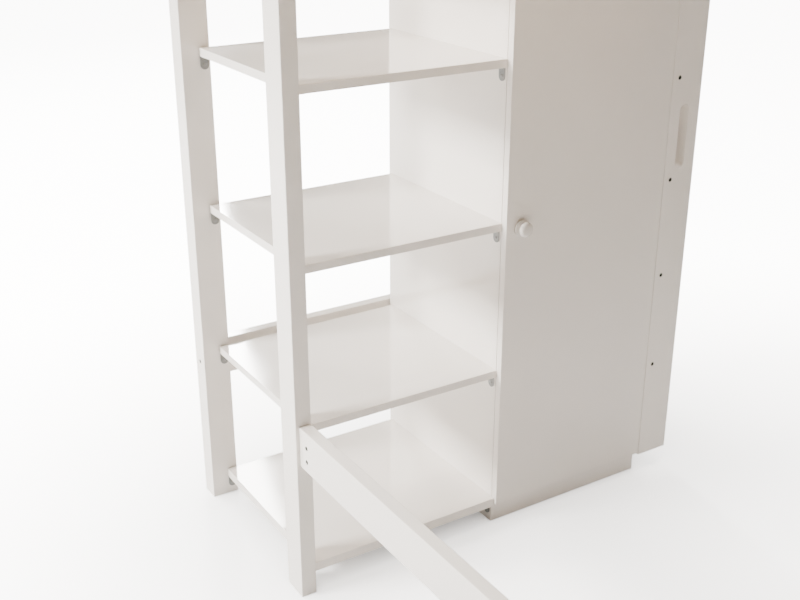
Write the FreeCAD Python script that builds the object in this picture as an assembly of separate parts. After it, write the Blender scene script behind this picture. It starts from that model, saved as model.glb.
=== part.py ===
import FreeCAD, Part
import math
import os

# Cabin bed: a high bunk on four corner posts, with open shelves, a wardrobe and a ladder
# under and beside its far end. Millimetres. While the pieces are made, X runs to the right
# from the shelf post's outer face, Y runs away from the shelf front, and Z runs up from the
# floor. The finished pieces are then shifted so that the origin lies on the floor in the
# middle of the whole bed.

X = FreeCAD.Vector(1, 0, 0)
Y = FreeCAD.Vector(0, 1, 0)
Z = FreeCAD.Vector(0, 0, 1)

# ---------------------------------------------------------------- mattress and bunk
mattress_width = 900.0
mattress_length = 2000.0
mattress_side_clearance = 7.0      # between the mattress and each side rail
mattress_end_clearance = 3.0       # between the mattress and the posts
bunk_height = 1400.0               # underside of the bunk rails
bunk_rail_height = 140.0
board_thickness = 28.0             # rails, guards, ladder boards and treads
board_height = 92.0                # guards and low rails
edge_radius = 2.0                  # eased edges of posts and boards

# ---------------------------------------------------------------- posts
post_height = 1850.0
post_width = 66.0                  # across the bed
post_depth = 51.0                  # along the bed
left_post_overhang = 11.0          # post beyond the outer face of the left rails
right_post_overhang = 3.0
shelf_post_width = 36.0
shelf_post_depth = 67.0

# ---------------------------------------------------------------- guards and low rails
rail_guard_gap = 60.0              # between the bunk rail and the lower guard
guard_gap = 66.0                   # between the lower and the upper guard
low_rail_height = 327.0            # underside of the low rails

# ---------------------------------------------------------------- slats
ledge_size = 25.0
ledge_drop = 10.0                  # from the rail's underside up to the ledge
ledge_end_gap = 2.0
slat_count = 14
slat_width = 70.0
slat_thickness = 20.0
slat_end_gap = 2.0
ledge_screw_count = 7

# ---------------------------------------------------------------- cabinet end
cabinet_depth = 472.0              # from the door's front to the far posts
panel_thickness = 18.0
door_gap_behind = 1.0              # between the closed door and the carcass
shelf_thickness = 18.0
shelf_count = 3
first_shelf_top = 407.0
top_bay_height = 287.0             # from the upper shelf's top to the bunk rails
shelf_setback = 16.0               # shelf front behind the door's front
shelf_back_gap = 2.0
shelf_right_gap = 0.5
bottom_shelf_top = 70.0
bottom_shelf_thickness = 22.0
bottom_shelf_setback = 8.0

# ---------------------------------------------------------------- shelf brackets
bracket_thickness = 2.0
bracket_width = 20.0
bracket_leg = 30.0
bracket_screw_place = 19.0         # from the bracket's corner
bracket_screw_depth = 12.0         # of this and the other small screws in the wood
far_post_bracket_x = 49.0
front_bracket_y = 34.0
back_bracket_inset = 36.0          # from the far posts' face

# ---------------------------------------------------------------- wardrobe
wardrobe_width = 457.0
back_panel_thickness = 8.0
back_panel_gap = 1.0               # to the post beside it
base_thickness = 18.0
wardrobe_shelf_drop = 250.0        # from the bunk rails' underside to the inner shelf's top
wardrobe_shelf_setback = 20.0
hanging_rail_radius = 12.5
hanging_rail_drop = 52.0           # from the inner shelf's underside to its axis
rail_socket_radius = 20.0
rail_socket_depth = 12.0
rail_socket_floor = 3.0
rail_clearance = 0.1
shelf_pin_radius = 2.5
shelf_pin_depth = 8.0
shelf_pin_reach = 8.0
shelf_pin_inset = 60.0

# ---------------------------------------------------------------- door
door_thickness = 18.0
door_bottom = 56.0
door_top_gap = 10.0                # under the bunk rails
door_side_gap = 1.5                # to the ladder board
door_edge_radius = 1.2
buffer_radius = 4.0
buffer_thickness = 0.9
buffer_inset = 90.0
knob_height = 748.0
knob_from_edge = 40.0
knob_foot_radius = 19.0
knob_foot_front = 5.6              # from the door to the foot's front
knob_foot_edge = 1.4
knob_groove_radius = 13.0          # of the foot where it touches the door
knob_groove_depth = 2.0
knob_neck_radius = 7.5
knob_neck_round = 2.0
knob_head_radius = 16.5
knob_head_thickness = 11.5         # from the head's back to the knob's front
knob_back_edge = 1.5
knob_depth = 26.0
knob_front_bulge = 2.5
knob_rim_radius = 7.5
knob_hole_depth = 14.0
knob_screw_radius = 2.0
knob_screw_head_radius = 4.5
knob_screw_head_height = 2.2

# ---------------------------------------------------------------- door hinges
hinge_end_distance = 94.0          # from the door's ends to the outer hinges
hinge_count = 3
cup_radius = 17.5
cup_depth = 12.0
cup_wall = 1.0
cup_centre_from_edge = 22.5
cup_flange_thickness = 0.8
cup_flange_half_height = 30.0
cup_flange_back = 14.0             # beyond the cup's centre, away from the door's edge
cup_flange_front = 5.0             # beyond the cup's centre, towards the door's edge
cup_screw_place = 24.0             # above and below the cup's centre
cup_screw_offset = 9.5             # further from the door's edge than the cup's centre
link_pivot_from_edge = 20.0
link_pivot_depth = 12.0            # behind the door's front
link_pin_radius = 2.0
link_eye_radius = 3.6
link_eye_clearance = 0.05
link_crank = 11.0
link_thickness = 3.0
link_height = 8.0
link_length = 52.0
arm_inside_width = 18.5
arm_wall = 1.5
arm_clearance = 0.6
arm_front = 20.0
arm_back = 70.0
plate_front = 30.0
plate_half_height = 24.0
plate_screw_places = (38.0, 62.0)
plate_screw_height = 16.0

# ---------------------------------------------------------------- ladder
ladder_board_width = 93.0
ladder_bottom = 51.0
tread_count = 5
first_tread_centre = 306.0
top_tread_drop = 134.0             # from the bunk rails' underside to the top tread's centre
tread_wall_gap = 2.0
tread_bolt_inset = 21.0            # from the board's inner edge
tread_dowel_inset = 24.0           # from the board's outer edge
grip_slot_width = 28.0
grip_slot_height = 151.0
grip_slot_bottom = 812.0
grip_slot_inset = 48.0             # from the board's outer edge to the slot's middle
ladder_rail_screw_heights = (62.0, 88.0)
ladder_guard_screw_heights = (26.0, 66.0)
side_dowel_inset = 200.0           # from the ends of the wardrobe side that meets the post
top_dowel_quarters = (0.5, 2.0, 3.5)   # of the side's depth, clear of the panels' dowels

# ---------------------------------------------------------------- fasteners
bolt_radius = 3.0
bolt_head_radius = 5.0
bolt_head_height = 4.0
bolt_head_sink = 0.5               # head below the wood's face
bolt_head_clearance = 0.3
bolt_hole_clearance = 0.4
bolt_past_nut = 7.0
hex_key_size = 4.0
hex_key_depth = 2.5
nut_radius = 5.0
nut_length = 20.0
nut_sink = 0.5
nut_clearance = 0.1
nut_distance = 30.0                # from the rail's end
dowel_radius = 4.0
dowel_half_length = 15.0
dowel_clearance = 0.1
screw_radius = 1.75
screw_head_radius = 3.6
screw_head_height = 2.0
screw_clearance = 0.05
furniture_screw_radius = 3.5
furniture_screw_head_radius = 5.0
furniture_screw_head_height = 3.0
furniture_screw_depth = 34.0       # in the second board
long_rail_bolts = (30.0, 110.0)    # heights above the board's underside
end_rail_bolts = (52.0, 88.0)
left_low_rail_bolts = (25.0, 57.0)
end_low_rail_bolt = 40.0
end_low_rail_dowel = 70.0
guard_fixing_low = 26.0
guard_fixing_high = 66.0
ledge_screw_depth = 15.0
slat_screw_depth = 16.0

# ================================================================ places
left_rail_x1 = shelf_post_width
left_rail_x0 = left_rail_x1 - board_thickness
right_rail_x0 = left_rail_x1 + mattress_width + 2 * mattress_side_clearance
right_rail_x1 = right_rail_x0 + board_thickness
left_post_x0 = left_rail_x0 - left_post_overhang
left_post_x1 = left_post_x0 + post_width
right_post_x1 = right_rail_x1 + right_post_overhang
right_post_x0 = right_post_x1 - post_width

far_post_y0 = cabinet_depth
far_post_y1 = far_post_y0 + post_depth
near_post_y1 = far_post_y0 - mattress_length - 2 * mattress_end_clearance
near_post_y0 = near_post_y1 - post_depth
end_board_inset = (post_depth - board_thickness) / 2
far_board_y0 = far_post_y0 + end_board_inset
near_board_y0 = near_post_y0 + end_board_inset

# The guards and the gaps under them share out the posts' height above the bunk rails.
bunk_rail_top = bunk_height + bunk_rail_height
guard_stack = rail_guard_gap + board_height + guard_gap + board_height
guard_fill = (post_height - bunk_rail_top) / guard_stack
guard_height = board_height * guard_fill
lower_guard_bottom = bunk_rail_top + rail_guard_gap * guard_fill
upper_guard_bottom = post_height - guard_height

carcass_front = door_thickness + door_gap_behind
wardrobe_right_x1 = right_rail_x1
wardrobe_right_x0 = wardrobe_right_x1 - panel_thickness
wardrobe_left_x0 = wardrobe_right_x1 - wardrobe_width
wardrobe_left_x1 = wardrobe_left_x0 + panel_thickness
base_top = bottom_shelf_top
base_bottom = base_top - base_thickness
wardrobe_shelf_top = bunk_height - wardrobe_shelf_drop
wardrobe_shelf_bottom = wardrobe_shelf_top - panel_thickness
hanging_rail_z = wardrobe_shelf_bottom - hanging_rail_drop
wardrobe_middle_y = (carcass_front + cabinet_depth) / 2

ladder_x0 = right_rail_x1
ladder_x1 = ladder_x0 + ladder_board_width
rear_ladder_y0 = cabinet_depth - board_thickness
tread_bolt_x = ladder_x0 + tread_bolt_inset
tread_dowel_x = ladder_x1 - tread_dowel_inset
tread_pitch = (bunk_height - top_tread_drop - first_tread_centre) / (tread_count - 1)
tread_centres = [first_tread_centre + tread_pitch * step for step in range(tread_count)]
ladder_side_screw_heights = [tread_centres[0] + tread_pitch / 2, tread_centres[-1] - tread_pitch / 2]
side_dowel_heights = [side_dowel_inset, bunk_height / 2, bunk_height - side_dowel_inset]

door_x0 = wardrobe_left_x0
door_x1 = ladder_x0 - door_side_gap
door_top = bunk_height - door_top_gap
hinge_step = (door_top - door_bottom - 2 * hinge_end_distance) / (hinge_count - 1)
hinge_heights = [door_bottom + hinge_end_distance + hinge_step * n for n in range(hinge_count)]
cup_x = door_x1 - cup_centre_from_edge
pivot_x = door_x1 - link_pivot_from_edge

shelf_x0 = shelf_post_width + bracket_thickness
shelf_x1 = wardrobe_left_x0 - shelf_right_gap
shelf_y1 = far_post_y0 - shelf_back_gap
shelf_pitch = (bunk_height - top_bay_height - first_shelf_top) / (shelf_count - 1)
shelf_tops = [first_shelf_top + shelf_pitch * level for level in range(shelf_count)]
back_bracket_y = far_post_y0 - back_bracket_inset

solids = {}     # node name: list of separate solids
holes = {}      # node name: list of shapes that are cut out of its solids


# ================================================================ tools for making pieces
def block(x0, x1, y0, y1, z0, z1):
    return Part.makeBox(x1 - x0, y1 - y0, z1 - z0, FreeCAD.Vector(x0, y0, z0))


def rod(start, direction, radius, length):
    return Part.makeCylinder(radius, length, start, direction)


def eased(shape, direction, radius):
    """Rounds the edges that run along one direction."""
    edges = []
    for edge in shape.Edges:
        if abs(edge.tangentAt(edge.FirstParameter).dot(direction)) > 0.999:
            edges.append(edge)
    return shape.makeFillet(radius, edges)


def add(node, shape):
    solids.setdefault(node, []).append(shape)


def cut(node, shape):
    holes.setdefault(node, []).append(shape)


def slot_outline(centre, across, along, width, height):
    """Flat face with round ends, its long side along one direction."""
    radius = width / 2
    half = height / 2 - radius
    corners = []
    for side, end in ((-1, -1), (1, -1), (1, 1), (-1, 1)):
        corners.append(centre + across * (side * radius) + along * (end * half))
    lower_tip = centre - along * (half + radius)
    upper_tip = centre + along * (half + radius)
    edges = [
        Part.Arc(corners[0], lower_tip, corners[1]).toShape(),
        Part.LineSegment(corners[1], corners[2]).toShape(),
        Part.Arc(corners[2], upper_tip, corners[3]).toShape(),
        Part.LineSegment(corners[3], corners[0]).toShape(),
    ]
    return Part.Face(Part.Wire(edges))


def hex_recess(start, direction, depth):
    """Six-sided key hole of a bolt head."""
    radius = hex_key_size / math.sqrt(3)
    side = X if abs(direction.dot(X)) < 0.5 else Y
    other = direction.cross(side)
    points = []
    for corner in range(7):
        angle = math.radians(60 * corner)
        points.append(start + side * (radius * math.cos(angle)) + other * (radius * math.sin(angle)))
    return Part.Face(Part.makePolygon(points)).extrude(direction * depth)


# ================================================================ fasteners
def bolt_and_nut(held, rail, seat, direction, grip, nut_side):
    """A bolt sunk in one board pulls a rail's end up to it with a barrel nut.

    The seat is the point of the first board's face on the bolt's axis. The grip is how much of
    that board the bolt goes through. The nut goes in from the rail's face on the nut side."""
    head_start = seat + direction * bolt_head_sink
    shank_start = head_start + direction * bolt_head_height
    shank_length = grip + nut_distance + bolt_past_nut - bolt_head_sink - bolt_head_height
    head = rod(head_start, direction, bolt_head_radius, bolt_head_height)
    shank = rod(shank_start, direction, bolt_radius, shank_length)
    add("frame_bolts", head.fuse(shank).cut(hex_recess(head_start, direction, hex_key_depth)))

    head_hole = rod(seat, direction, bolt_head_radius + bolt_head_clearance,
                    bolt_head_sink + bolt_head_height)
    shank_hole = rod(shank_start, direction, bolt_radius + bolt_hole_clearance, shank_length + 1)
    cut(held, head_hole)
    cut(held, shank_hole)
    cut(rail, shank_hole)

    face_point = seat + direction * (grip + nut_distance) + nut_side * (board_thickness / 2)
    nut_start = face_point - nut_side * nut_sink
    cross_hole = rod(seat, direction, bolt_radius + nut_clearance, grip + 2 * nut_distance)
    add("barrel_nuts", rod(nut_start, -nut_side, nut_radius, nut_length).cut(cross_hole))
    cut(rail, rod(face_point, -nut_side, nut_radius + nut_clearance, nut_length + nut_sink))


def dowel(first, second, middle, direction):
    """A wooden dowel half in each of two boards."""
    start = middle - direction * dowel_half_length
    add("wood_dowels", rod(start, direction, dowel_radius, 2 * dowel_half_length))
    hole = rod(start - direction * dowel_clearance, direction, dowel_radius + dowel_clearance,
               2 * (dowel_half_length + dowel_clearance))
    cut(first, hole)
    cut(second, hole)


def small_screw(node, held, wood, face, direction, grip, depth, sunk):
    """A small screw through one piece into another, its head on the face or sunk in it."""
    head_start = face if sunk else face - direction * screw_head_height
    head = rod(head_start, direction, screw_head_radius, screw_head_height)
    shank_start = head_start + direction * screw_head_height
    shank_length = grip + depth - (screw_head_height if sunk else 0)
    shank = rod(shank_start, direction, screw_radius, shank_length)
    add(node, head.fuse(shank))
    hole = rod(face, direction, screw_radius + screw_clearance, grip + depth + screw_clearance)
    cut(held, hole)
    cut(wood, hole)
    if sunk:
        cut(held, rod(face, direction, screw_head_radius + screw_clearance, screw_head_height))


def furniture_screw(held, wood, face, direction, grip):
    """A thick sunk screw that holds a board to the edge of another."""
    head = rod(face, direction, furniture_screw_head_radius, furniture_screw_head_height)
    length = grip + furniture_screw_depth - furniture_screw_head_height
    shank_start = face + direction * furniture_screw_head_height
    add("furniture_screws", head.fuse(rod(shank_start, direction, furniture_screw_radius, length)))
    hole = rod(face, direction, furniture_screw_radius + screw_clearance,
               grip + furniture_screw_depth + screw_clearance)
    cut(held, hole)
    cut(wood, hole)
    cut(held, rod(face, direction, furniture_screw_head_radius + screw_clearance,
                  furniture_screw_head_height))


# ================================================================ posts
def make_posts():
    for side, x0, x1 in (("left", left_post_x0, left_post_x1), ("right", right_post_x0, right_post_x1)):
        for end, y0, y1 in (("near", near_post_y0, near_post_y1), ("far", far_post_y0, far_post_y1)):
            add(end + "_" + side + "_post", eased(block(x0, x1, y0, y1, 0, post_height), Z, edge_radius))
    shelf_post = block(0, shelf_post_width, 0, shelf_post_depth, 0, bunk_height)
    add("shelf_post", eased(shelf_post, Z, edge_radius))


# ================================================================ boards between the posts
def long_board(node, x0, y0, y1, bottom, height):
    add(node, eased(block(x0, x0 + board_thickness, y0, y1, bottom, bottom + height), Y, edge_radius))


def end_board(node, y0, bottom, height):
    board = block(left_post_x1, right_post_x0, y0, y0 + board_thickness, bottom, bottom + height)
    add(node, eased(board, X, edge_radius))


def join_long_board(node, side, x0, end, heights, dowel_heights):
    """Fixes one end of a lengthwise board to a corner post."""
    middle_x = x0 + board_thickness / 2
    outward = -X if side == "left" else X
    if end == "far":
        outer_y, joint_y, inward = far_post_y1, far_post_y0, -Y
    else:
        outer_y, joint_y, inward = near_post_y0, near_post_y1, Y
    post = end + "_" + side + "_post"
    for height in heights:
        bolt_and_nut(post, node, FreeCAD.Vector(middle_x, outer_y, height), inward, post_depth, outward)
    for height in dowel_heights:
        dowel(post, node, FreeCAD.Vector(middle_x, joint_y, height), Y)


def join_end_board(node, end, y0, heights, dowel_heights):
    """Fixes both ends of a crosswise board to the two posts of one end."""
    middle_y = y0 + board_thickness / 2
    outward = Y if end == "far" else -Y
    sides = (("left", left_post_x0, left_post_x1, X), ("right", right_post_x1, right_post_x0, -X))
    for side, outer_x, joint_x, inward in sides:
        post = end + "_" + side + "_post"
        for height in heights:
            seat = FreeCAD.Vector(outer_x, middle_y, height)
            bolt_and_nut(post, node, seat, inward, post_width, outward)
        for height in dowel_heights:
            dowel(post, node, FreeCAD.Vector(joint_x, middle_y, height), X)


def make_bunk():
    rail_bolts = [bunk_height + height for height in long_rail_bolts]
    for side, x0 in (("left", left_rail_x0), ("right", right_rail_x0)):
        rail = side + "_bunk_rail"
        long_board(rail, x0, near_post_y1, far_post_y0, bunk_height, bunk_rail_height)
        join_long_board(rail, side, x0, "far", rail_bolts, [])
        join_long_board(rail, side, x0, "near", rail_bolts, [])
    for end, y0 in (("near", near_board_y0), ("far", far_board_y0)):
        rail = end + "_bunk_rail"
        end_board(rail, y0, bunk_height, bunk_rail_height)
        join_end_board(rail, end, y0, [bunk_height + height for height in end_rail_bolts], [])
    for y in (shelf_post_depth / 3, 2 * shelf_post_depth / 3):
        middle = FreeCAD.Vector(left_rail_x0 + board_thickness / 2, y, bunk_height)
        dowel("shelf_post", "left_bunk_rail", middle, Z)


def make_guards():
    for level, bottom in (("lower", lower_guard_bottom), ("upper", upper_guard_bottom)):
        low = bottom + guard_fixing_low * guard_fill
        high = bottom + guard_fixing_high * guard_fill
        left = "left_" + level + "_guard"
        long_board(left, left_rail_x0, near_post_y1, far_post_y0, bottom, guard_height)
        join_long_board(left, "left", left_rail_x0, "far", [low], [high])
        join_long_board(left, "left", left_rail_x0, "near", [low], [high])
        right = "right_" + level + "_guard"
        long_board(right, right_rail_x0, near_post_y1, board_thickness, bottom, guard_height)
        join_long_board(right, "right", right_rail_x0, "near", [low], [high])
        for height in ladder_guard_screw_heights:
            screw_z = bottom + height * guard_fill
            face = FreeCAD.Vector(right_rail_x0, board_thickness / 2, screw_z)
            furniture_screw(right, "ladder_front_board", face, X, board_thickness)
        for end, y0 in (("near", near_board_y0), ("far", far_board_y0)):
            guard = end + "_" + level + "_guard"
            end_board(guard, y0, bottom, guard_height)
            join_end_board(guard, end, y0, [high], [low])


def make_low_rails():
    """Boards at knee height: along the left side from the shelf post, and across both ends."""
    middle_x = left_rail_x0 + board_thickness / 2
    heights = [low_rail_height + height for height in left_low_rail_bolts]
    long_board("left_low_rail", left_rail_x0, near_post_y1, 0, low_rail_height, board_height)
    join_long_board("left_low_rail", "left", left_rail_x0, "near", heights, [])
    for height in heights:
        seat = FreeCAD.Vector(middle_x, shelf_post_depth, height)
        bolt_and_nut("shelf_post", "left_low_rail", seat, -Y, shelf_post_depth, -X)
    for end, y0 in (("near", near_board_y0), ("far", far_board_y0)):
        rail = end + "_low_rail"
        end_board(rail, y0, low_rail_height, board_height)
        bolt_height = low_rail_height + end_low_rail_bolt
        join_end_board(rail, end, y0, [bolt_height], [low_rail_height + end_low_rail_dowel])


# ================================================================ slats
def make_slats():
    ledge_y0 = near_post_y1 + ledge_end_gap
    ledge_y1 = far_post_y0 - ledge_end_gap
    ledge_z0 = bunk_height + ledge_drop
    ledge_top = ledge_z0 + ledge_size
    screw_step = (ledge_y1 - ledge_y0) / ledge_screw_count
    ledges = (("left", left_rail_x1, left_rail_x1 + ledge_size, -X),
              ("right", right_rail_x0 - ledge_size, right_rail_x0, X))
    for side, x0, x1, outward in ledges:
        ledge = side + "_slat_ledge"
        add(ledge, block(x0, x1, ledge_y0, ledge_y1, ledge_z0, ledge_top))
        inner_x = x1 if side == "left" else x0
        for n in range(ledge_screw_count):
            y = ledge_y0 + screw_step * (n + 0.5)
            face = FreeCAD.Vector(inner_x, y, ledge_z0 + ledge_size / 2)
            small_screw("wood_screws", ledge, side + "_bunk_rail", face, outward, ledge_size,
                        ledge_screw_depth, True)
    slat_gap = (far_post_y0 - near_post_y1 - slat_count * slat_width) / (slat_count + 1)
    for n in range(slat_count):
        y0 = near_post_y1 + slat_gap + (slat_width + slat_gap) * n
        slat = block(left_rail_x1 + slat_end_gap, right_rail_x0 - slat_end_gap, y0, y0 + slat_width,
                     ledge_top, ledge_top + slat_thickness)
        add("slats", eased(slat, X, edge_radius))
        for side, x0, x1, outward in ledges:
            face = FreeCAD.Vector((x0 + x1) / 2, y0 + slat_width / 2, ledge_top + slat_thickness)
            small_screw("wood_screws", "slats", side + "_slat_ledge", face, -Z, slat_thickness,
                        slat_screw_depth, True)


# ================================================================ open shelves
def make_bracket(corner, turn, wall, shelf):
    """Right-angled bracket under a shelf: the corner is where wall and underside meet.

    With no turn its level leg runs along +X, away from a wall on its left."""
    half = bracket_width / 2
    level_side = block(0, bracket_leg - half, -half, half, -bracket_thickness, 0)
    level_end = rod(FreeCAD.Vector(bracket_leg - half, 0, -bracket_thickness), Z, half, bracket_thickness)
    upright_side = block(0, bracket_thickness, -half, half, half - bracket_leg, 0)
    upright_end = rod(FreeCAD.Vector(0, 0, half - bracket_leg), X, half, bracket_thickness)
    shape = level_side.fuse([level_end, upright_side, upright_end]).removeSplitter()
    shape.rotate(FreeCAD.Vector(0, 0, 0), Z, turn)
    shape.translate(corner)
    add("shelf_brackets", shape)

    away = FreeCAD.Rotation(Z, turn).multVec(X)
    wall_face = corner + away * bracket_thickness - Z * bracket_screw_place
    small_screw("wood_screws", "shelf_brackets", wall, wall_face, -away, bracket_thickness,
                bracket_screw_depth, False)
    shelf_face = corner + away * bracket_screw_place - Z * bracket_thickness
    small_screw("wood_screws", "shelf_brackets", shelf, shelf_face, Z, bracket_thickness,
                bracket_screw_depth, False)


def make_shelf(node, front, back, top, thickness):
    shelf = block(shelf_x0, shelf_x1, front, back, top - thickness, top)
    add(node, eased(shelf, X, edge_radius / 2))
    bottom = top - thickness
    make_bracket(FreeCAD.Vector(shelf_post_width, front_bracket_y, bottom), 0, "shelf_post", node)
    make_bracket(FreeCAD.Vector(far_post_bracket_x, far_post_y0, bottom), -90, "far_left_post", node)
    for y in (front_bracket_y, back_bracket_y):
        make_bracket(FreeCAD.Vector(wardrobe_left_x0, y, bottom), 180, "wardrobe_left_side", node)


def make_shelves():
    names = ["lower_shelf", "middle_shelf", "upper_shelf"]
    names += ["shelf_" + str(level) for level in range(len(names), shelf_count)]
    for node, top in zip(names, shelf_tops):
        make_shelf(node, shelf_setback, shelf_y1, top, shelf_thickness)
    make_shelf("bottom_shelf", bottom_shelf_setback, far_post_y0, bottom_shelf_top,
               bottom_shelf_thickness)


# ================================================================ wardrobe
def make_wardrobe():
    back_y1 = cabinet_depth + back_panel_thickness
    left_side = block(wardrobe_left_x0, wardrobe_left_x1, carcass_front, back_y1, 0, bunk_height)
    right_side = block(wardrobe_right_x0, wardrobe_right_x1, carcass_front, cabinet_depth, 0, bunk_height)
    add("wardrobe_left_side", left_side)
    add("wardrobe_right_side", right_side)
    top_bottom = bunk_height - panel_thickness
    inside = (wardrobe_left_x1, wardrobe_right_x0)
    add("wardrobe_top", block(*inside, carcass_front, cabinet_depth, top_bottom, bunk_height))
    add("wardrobe_base", block(*inside, carcass_front, cabinet_depth, base_bottom, base_top))
    plinth = block(*inside, carcass_front, carcass_front + panel_thickness, 0, base_bottom)
    add("wardrobe_plinth", plinth)
    back_x1 = right_post_x0 - back_panel_gap
    back = block(wardrobe_left_x1, back_x1, cabinet_depth, back_y1, base_bottom, bunk_height)
    add("wardrobe_back", back)
    shelf_front = carcass_front + wardrobe_shelf_setback
    inner_shelf = block(*inside, shelf_front, cabinet_depth, wardrobe_shelf_bottom, wardrobe_shelf_top)
    add("wardrobe_inner_shelf", inner_shelf)

    quarter = (cabinet_depth - carcass_front) / 4
    for board, middle_z in (("wardrobe_top", top_bottom + panel_thickness / 2),
                            ("wardrobe_base", base_bottom + base_thickness / 2)):
        for y in (carcass_front + quarter, carcass_front + 3 * quarter):
            panel_dowel("wardrobe_left_side", board, wardrobe_left_x1, y, middle_z, -1)
            panel_dowel("wardrobe_right_side", board, wardrobe_right_x0, y, middle_z, 1)
    for place in top_dowel_quarters:
        y = carcass_front + quarter * place
        middle = FreeCAD.Vector(wardrobe_right_x0 + panel_thickness / 2, y, bunk_height)
        dowel("wardrobe_right_side", "right_bunk_rail", middle, Z)
    for height in side_dowel_heights:
        middle = FreeCAD.Vector(wardrobe_right_x0 + panel_thickness / 2, cabinet_depth, height)
        dowel("wardrobe_right_side", "far_right_post", middle, Y)

    for x in (wardrobe_left_x1 + shelf_pin_inset, back_x1 - shelf_pin_inset):
        for board, z in (("wardrobe_base", base_bottom + base_thickness / 2),
                         ("wardrobe_inner_shelf", wardrobe_shelf_bottom + panel_thickness / 2),
                         ("wardrobe_top", top_bottom + panel_thickness / 2)):
            face = FreeCAD.Vector(x, back_y1, z)
            small_screw("wood_screws", "wardrobe_back", board, face, -Y, back_panel_thickness,
                        bracket_screw_depth, False)
    make_shelf_pins(shelf_front)
    make_hanging_rail()


def panel_dowel(side, board, joint_x, y, z, outward):
    """A short dowel, two thirds of a panel deep in the side and as deep as a long one in the board."""
    depth = panel_thickness * 2 / 3
    start = FreeCAD.Vector(joint_x + outward * depth, y, z)
    direction = X * -outward
    length = depth + dowel_half_length
    add("wood_dowels", rod(start, direction, dowel_radius, length))
    hole = rod(start - direction * dowel_clearance, direction, dowel_radius + dowel_clearance,
               length + 2 * dowel_clearance)
    cut(side, hole)
    cut(board, hole)


def make_shelf_pins(shelf_front):
    """Four pins in the wardrobe's sides carry its inner shelf."""
    z = wardrobe_shelf_bottom - shelf_pin_radius
    length = shelf_pin_depth + shelf_pin_reach
    for y in (shelf_front + shelf_pin_inset, cabinet_depth - shelf_pin_inset):
        for side, joint_x, outward in (("wardrobe_left_side", wardrobe_left_x1, -1),
                                       ("wardrobe_right_side", wardrobe_right_x0, 1)):
            start = FreeCAD.Vector(joint_x + outward * shelf_pin_depth, y, z)
            pin = rod(start, X * -outward, shelf_pin_radius, length)
            add("inner_shelf_pins", pin)
            cut(side, rod(start, X * -outward, shelf_pin_radius + screw_clearance, length))


def make_hanging_rail():
    """Tube across the wardrobe, held in a round socket at each end."""
    centre = FreeCAD.Vector(wardrobe_left_x1, wardrobe_middle_y, hanging_rail_z)
    inside_width = wardrobe_right_x0 - wardrobe_left_x1
    tube_start = centre + X * (rail_socket_floor + rail_clearance)
    tube_length = inside_width - 2 * (rail_socket_floor + rail_clearance)
    tube = rod(tube_start, X, hanging_rail_radius, tube_length)
    bore = rod(tube_start, X, hanging_rail_radius - arm_wall, tube_length)
    add("hanging_rail", tube.cut(bore))
    for start, direction in ((centre, X), (centre + X * inside_width, -X)):
        socket = rod(start, direction, rail_socket_radius, rail_socket_depth)
        seat = rod(start + direction * rail_socket_floor, direction,
                   hanging_rail_radius + rail_clearance, rail_socket_depth)
        add("hanging_rail_sockets", socket.cut(seat))


# ================================================================ door with its knob
def make_door():
    door = block(door_x0, door_x1, 0, door_thickness, door_bottom, door_top)
    add("door", eased(eased(door, Z, door_edge_radius), X, door_edge_radius))
    buffer_x = wardrobe_left_x0 + panel_thickness / 2
    for z in (door_bottom + buffer_inset, door_top - buffer_inset):
        start = FreeCAD.Vector(buffer_x, door_thickness, z)
        add("door_buffers", rod(start, Y, buffer_radius, buffer_thickness))


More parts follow.
